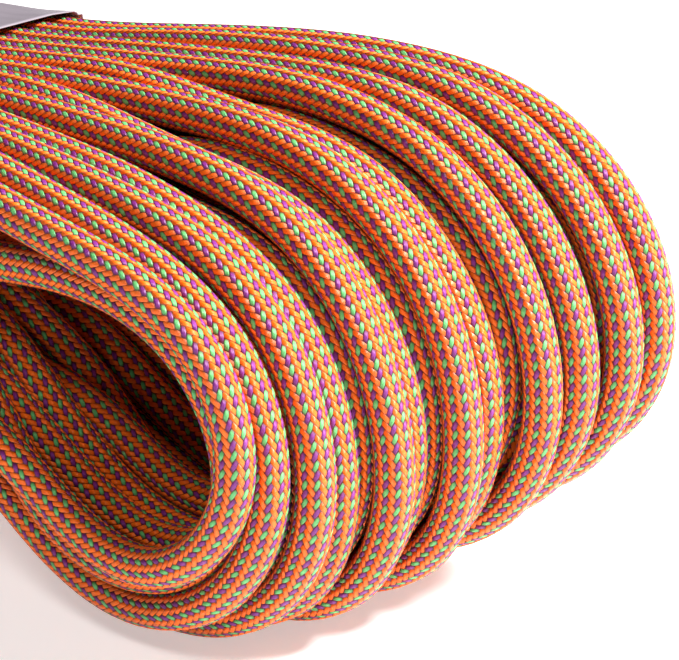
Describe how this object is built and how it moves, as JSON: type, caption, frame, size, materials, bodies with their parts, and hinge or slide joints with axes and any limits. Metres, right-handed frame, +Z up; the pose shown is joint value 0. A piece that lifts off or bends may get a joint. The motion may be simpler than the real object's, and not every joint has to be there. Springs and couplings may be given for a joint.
{
  "type": "dynamic climbing rope",
  "caption": "Dynamic climbing rope with a braided sheath over twisted core strands, wound into a long hank and held round its waist by a film band, with both ends sleeved.",
  "frame": {"origin": "under the middle of the hank, on the surface that it stands on", "axes": "+X along the hank's length, +Y across its turns, +Z up"},
  "size_m": [0.54, 0.1404, 0.13],
  "materials": {
    "rope_sheath": "braided nylon, orange with green and purple flecks, slight sheen",
    "film_band": "satin grey film",
    "core_yarn": "twisted white nylon yarn",
    "melted_nylon": "melted and fused nylon",
    "shrink_sleeve": "satin shrink tubing"
  },
  "bodies": {
    "hank": {"rope_hank": "rope_sheath", "sheath_end_a": "rope_sheath", "core_strand_a_1": "core_yarn", "core_strand_a_2": "core_yarn", "core_strand_a_3": "core_yarn", "core_strand_a_4": "core_yarn", "core_strand_a_5": "core_yarn", "core_strand_a_6": "core_yarn", "core_strand_a_7": "core_yarn", "fused_tip_a": "melted_nylon", "end_sleeve_a": "shrink_sleeve", "sheath_end_b": "rope_sheath", "core_strand_b_1": "core_yarn", "core_strand_b_2": "core_yarn", "core_strand_b_3": "core_yarn", "core_strand_b_4": "core_yarn", "core_strand_b_5": "core_yarn", "core_strand_b_6": "core_yarn", "core_strand_b_7": "core_yarn", "fused_tip_b": "melted_nylon", "end_sleeve_b": "shrink_sleeve"},
    "band": {"label_band": "film_band"}
  },
  "joints": [
    {"name": "band_slide", "type": "slide", "parent": "hank", "child": "band", "axis": [1, 0, 0], "range_m": [-0.006, 0.006]}
  ]
}
